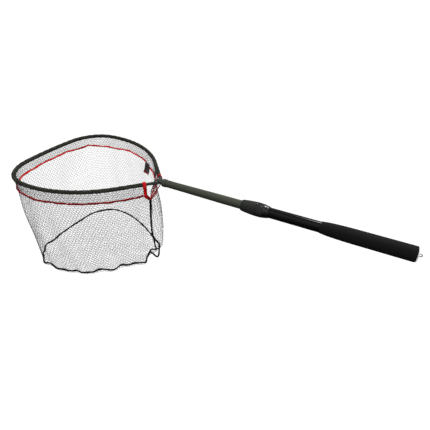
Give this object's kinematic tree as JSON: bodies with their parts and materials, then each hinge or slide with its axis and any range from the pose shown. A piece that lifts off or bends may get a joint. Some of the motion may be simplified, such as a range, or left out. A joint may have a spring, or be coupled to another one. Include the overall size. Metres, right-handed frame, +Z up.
{
  "type": "landing net",
  "caption": "Fishing landing net: D-shaped hoop with a flat-bottomed bag of rubber-coated netting, on a telescopic twist-lock handle with a foam grip.",
  "frame": {"origin": "middle of the grip's straight part, on the handle's axis", "axes": "+X along the handle from the hoop to the butt, +Z up with the hoop level and its bag hanging below"},
  "size_m": [1.1801, 0.4215, 0.3583],
  "materials": {
    "lower_tube": "gloss black lacquer",
    "hand_grip": "matt closed-cell foam",
    "butt_cap": "satin pale plastic",
    "lock_sleeve": "gloss, ribbed",
    "sleeve_ring": "gloss",
    "lock_collet": "natural",
    "lock_nut": "fine matt texture",
    "nut_wiper": "matt",
    "thrust_washer": "natural",
    "guide_bush": "natural",
    "upper_tube": "satin grey-green lacquer",
    "tube_ferrule": "satin",
    "thread_insert": "machined",
    "insert_rivets": "domed",
    "tail_plug": "matt",
    "head_block": "dark plated",
    "head_stud": "plated",
    "stud_pin": "plain",
    "hoop_tube": "satin coated",
    "netting": "rubber-coated mesh",
    "red_tape": "woven tape",
    "black_tape": "woven tape",
    "label": "woven",
    "jam_nut": "plated",
    "eye_steel": "dark"
  },
  "bodies": {
    "handle": {"lower_tube": "lower_tube", "hand_grip": "hand_grip", "butt_cap": "butt_cap", "lock_sleeve": "lock_sleeve", "sleeve_ring": "sleeve_ring", "lock_collet": "lock_collet"},
    "lock_nut": {"lock_nut": "lock_nut", "nut_wiper": "nut_wiper", "thrust_washer": "thrust_washer"},
    "guide_bush": {"guide_bush": "guide_bush"},
    "pole": {"upper_tube": "upper_tube", "tube_ferrule": "tube_ferrule", "thread_insert": "thread_insert", "insert_rivets": "insert_rivets", "tail_plug": "tail_plug"},
    "head": {"head_block": "head_block", "head_stud": "head_stud", "stud_pin": "stud_pin", "hoop_tube": "hoop_tube", "net_rim": "netting", "net_band": "netting", "net_wall": "netting", "net_base": "netting", "net_piping": "red_tape", "band_bindings": "red_tape", "gap_cord": "red_tape", "base_cord": "black_tape", "seam_cord": "black_tape", "net_tag": "label"},
    "jam_nut": {"jam_nut": "jam_nut"},
    "lanyard_eye": {"lanyard_eye": "eye_steel", "eye_clip": "eye_steel"}
  },
  "joints": [
    {"name": "pole_slide", "type": "slide", "parent": "handle", "child": "guide_bush", "axis": [-1, 0, 0], "range_m": [-0.15, 0.12]},
    {"name": "pole_spin", "type": "hinge", "parent": "guide_bush", "child": "pole", "pos_m": [0, 0, 0], "axis": [1, 0, 0], "continuous": true},
    {"name": "head_turn", "type": "hinge", "parent": "pole", "child": "head", "pos_m": [-0.61, 0, 0], "axis": [1, 0, 0], "continuous": true},
    {"name": "jam_nut_turn", "type": "hinge", "parent": "head", "child": "jam_nut", "pos_m": [-0.61, 0, 0], "axis": [1, 0, 0], "range_deg": [0, 270]},
    {"name": "lock_nut_turn", "type": "hinge", "parent": "handle", "child": "lock_nut", "pos_m": [-0.325, 0, 0], "axis": [1, 0, 0], "range_deg": [0, 180]},
    {"name": "eye_swivel", "type": "hinge", "parent": "handle", "child": "lanyard_eye", "pos_m": [0.077, 0, 0], "axis": [1, 0, 0], "continuous": true}
  ]
}
